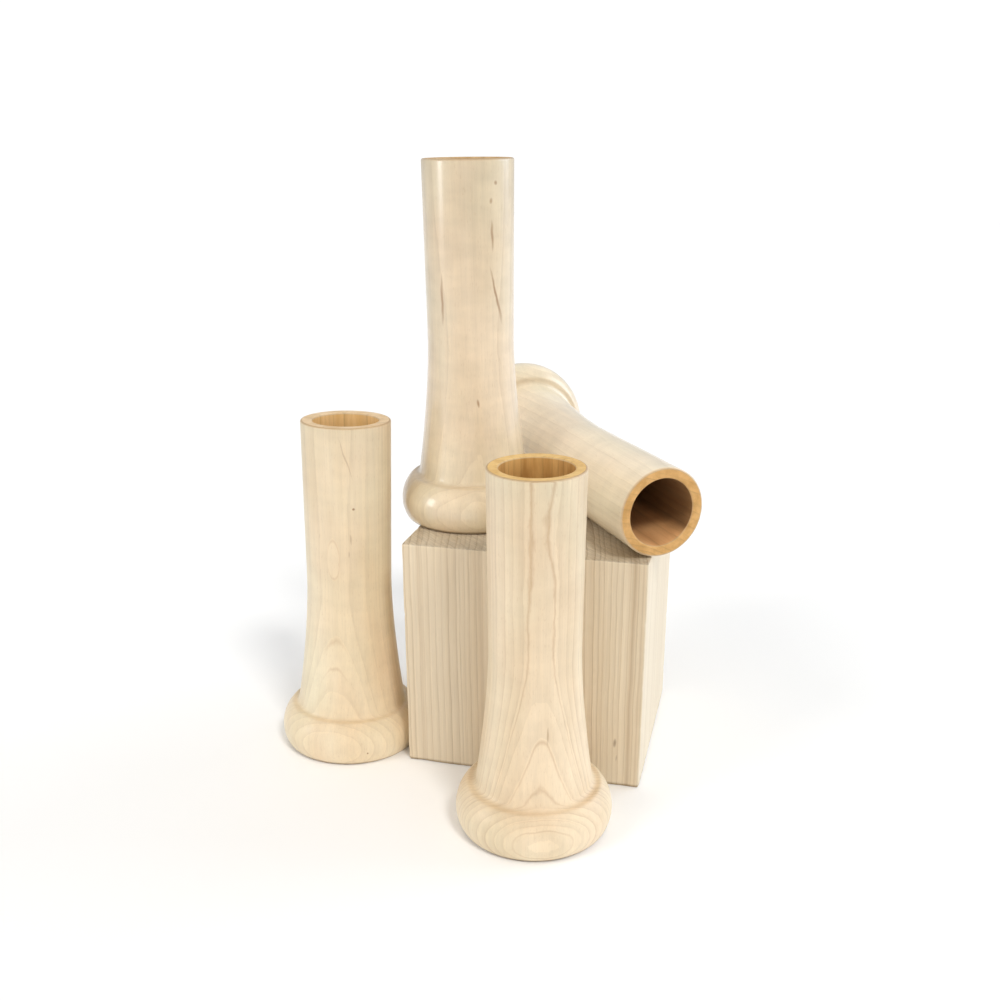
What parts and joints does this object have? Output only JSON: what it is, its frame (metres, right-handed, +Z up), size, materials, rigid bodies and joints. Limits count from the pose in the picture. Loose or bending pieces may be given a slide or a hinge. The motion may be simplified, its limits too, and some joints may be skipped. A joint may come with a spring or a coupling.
{
  "type": "claves",
  "caption": "Turned pale-wood claves, each a hollow waisted tube on a solid round knob, grouped around and on a plain wooden display block.",
  "frame": {"origin": "centre of the display block's underside, on the surface that the part stands on", "axes": "+Z up, +X along the block's front face towards the viewer's right, +Y from the block's front face to its back"},
  "size_m": [0.167, 0.1914, 0.2275],
  "materials": {
    "block_raw_wood": "raw sawn, unfinished",
    "maple_left": "satin clear finish",
    "maple_front": "satin clear finish",
    "maple_top": "gloss clear lacquer",
    "maple_lying": "gloss clear lacquer"
  },
  "bodies": {
    "block": {"display_block": "block_raw_wood"},
    "left": {"clave_left": "maple_left"},
    "front": {"clave_front": "maple_front"},
    "top": {"clave_top": "maple_top"},
    "lying": {"clave_lying": "maple_lying"}
  },
  "joints": [
    {"name": "lift_left", "type": "slide", "parent": "block", "child": "left", "axis": [-0.6, 0, 0.8], "range_m": [0, 0.12]},
    {"name": "lift_front", "type": "slide", "parent": "block", "child": "front", "axis": [0, -0.6, 0.8], "range_m": [0, 0.12]},
    {"name": "lift_top", "type": "slide", "parent": "block", "child": "top", "axis": [0.0514, -0.5138, 0.8564], "range_m": [0, 0.075]},
    {"name": "lift_lying", "type": "slide", "parent": "block", "child": "lying", "axis": [0.48, 0.36, 0.8], "range_m": [0, 0.12]}
  ]
}
